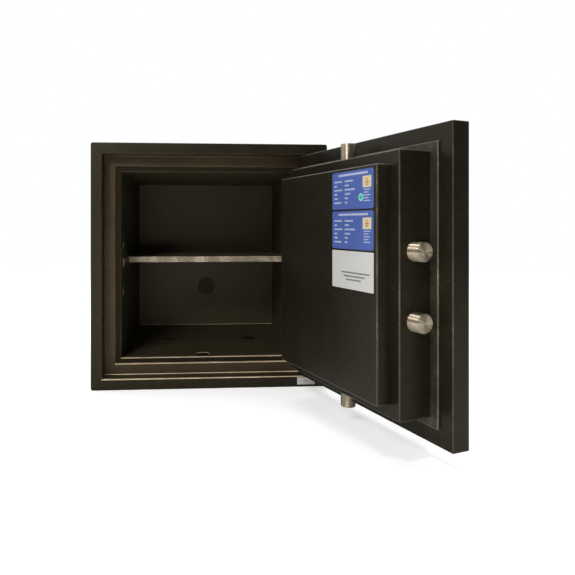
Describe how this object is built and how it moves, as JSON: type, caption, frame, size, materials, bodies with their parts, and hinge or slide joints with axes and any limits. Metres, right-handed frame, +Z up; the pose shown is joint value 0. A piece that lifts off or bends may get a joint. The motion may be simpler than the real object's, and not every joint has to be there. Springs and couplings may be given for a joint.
{
  "type": "safe",
  "caption": "Small free-standing safe with a thick body, an inset hinged door with sliding bolts, lever handle and key lock, a shelf and anchor holes.",
  "frame": {"origin": "centre of the body's flat underside, under the middle of its width and depth", "axes": "+X to the right seen from the front, where the hinge is; +Y from the front to the back of the body; +Z up. The door opening faces -Y."},
  "size_m": [0.5348, 0.7766, 0.45],
  "materials": {
    "body_paint": "dark textured powder coat, semi-gloss",
    "cavity_paint": "dark powder coat, satin",
    "door_paint": "dark textured powder coat, semi-gloss",
    "turned_steel": "turned and lightly brushed stainless steel",
    "zinc": "bright zinc-plated pressed steel",
    "satin_chrome": "satin chrome",
    "bearing_bronze": "sintered bearing bronze",
    "mineral_fill": "rough mineral barrier fill",
    "seal": "matt swelling fire strip",
    "cap_plastic": "matt black plastic",
    "label_blue": "printed gloss film, blue",
    "label_pale": "printed gloss film, pale grey",
    "plate_white": "small white printed plate"
  },
  "bodies": {
    "body": {"outer_casing": "body_paint", "rear_panel": "body_paint", "door_frame": "body_paint", "strike_bars": "zinc", "inner_casing": "cavity_paint", "barrier_fill": "mineral_fill", "fire_seal": "seal", "shelf": "cavity_paint", "shelf_rails": "cavity_paint", "rear_anchor_sleeve": "zinc", "rear_anchor_cap": "cap_plastic", "floor_anchor_sleeves": "zinc", "floor_anchor_caps": "cap_plastic", "hinge_bushes": "bearing_bronze", "thrust_washer": "bearing_bronze", "rating_plate": "plate_white"},
    "door": {"door_plate": "door_paint", "door_fill": "mineral_fill", "door_pan": "door_paint", "hinge_pins": "turned_steel", "bolt_box": "door_paint", "inner_cover": "door_paint", "cover_fill": "mineral_fill", "bolt_bushes": "bearing_bronze", "rod_guides": "zinc", "hard_plate": "zinc", "lock_case": "zinc", "lock_levers": "bearing_bronze", "lock_screws": "zinc", "handle_rose": "satin_chrome", "key_escutcheon": "satin_chrome", "label_upper": "label_blue", "label_middle": "label_blue", "label_lower": "label_pale"},
    "side_bolt_group": {"side_bolts": "turned_steel", "bolt_nuts": "zinc", "bolt_carriage": "zinc", "carriage_arm": "zinc", "lock_tab": "zinc"},
    "top_bolt_group": {"top_bolt": "turned_steel", "top_rod": "zinc"},
    "bottom_bolt_group": {"bottom_bolt": "turned_steel", "bottom_rod": "zinc"},
    "handle_group": {"drive_cam": "zinc", "drive_pins": "turned_steel", "handle_spindle": "turned_steel", "handle": "satin_chrome"},
    "lock_bolt_group": {"lock_bolt": "bearing_bronze"},
    "key": {"lock_key": "satin_chrome"}
  },
  "joints": [
    {"name": "door_hinge", "type": "hinge", "parent": "body", "child": "door", "pos_m": [0.185, -0.199, 0.225], "axis": [0, 0, 1], "range_deg": [-108, 4]},
    {"name": "handle_turn", "type": "hinge", "parent": "door", "child": "handle_group", "pos_m": [0.25193, -0.38558, 0.223], "axis": [-0.9511, -0.309, 0], "range_deg": [0, 90]},
    {"name": "side_bolt_slide", "type": "slide", "parent": "door", "child": "side_bolt_group", "axis": [-0.309, 0.9511, 0], "range_m": [0, 0.024]},
    {"name": "top_bolt_slide", "type": "slide", "parent": "door", "child": "top_bolt_group", "axis": [0, 0, -1], "range_m": [0, 0.024]},
    {"name": "bottom_bolt_slide", "type": "slide", "parent": "door", "child": "bottom_bolt_group", "axis": [0, 0, 1], "range_m": [0, 0.024]},
    {"name": "key_turn", "type": "hinge", "parent": "door", "child": "key", "pos_m": [0.26966, -0.44014, 0.15], "axis": [-0.9511, -0.309, 0], "range_deg": [0, 180]},
    {"name": "lock_bolt_slide", "type": "slide", "parent": "door", "child": "lock_bolt_group", "axis": [0, 0, 1], "range_m": [0, 0.012]}
  ],
  "couplings": [
    {"joint": "side_bolt_slide", "follows": "handle_turn", "m_per_rad": 0.015279},
    {"joint": "top_bolt_slide", "follows": "handle_turn", "m_per_rad": 0.015279},
    {"joint": "bottom_bolt_slide", "follows": "handle_turn", "m_per_rad": 0.015279},
    {"joint": "lock_bolt_slide", "follows": "key_turn", "m_per_rad": 0.0038197}
  ]
}
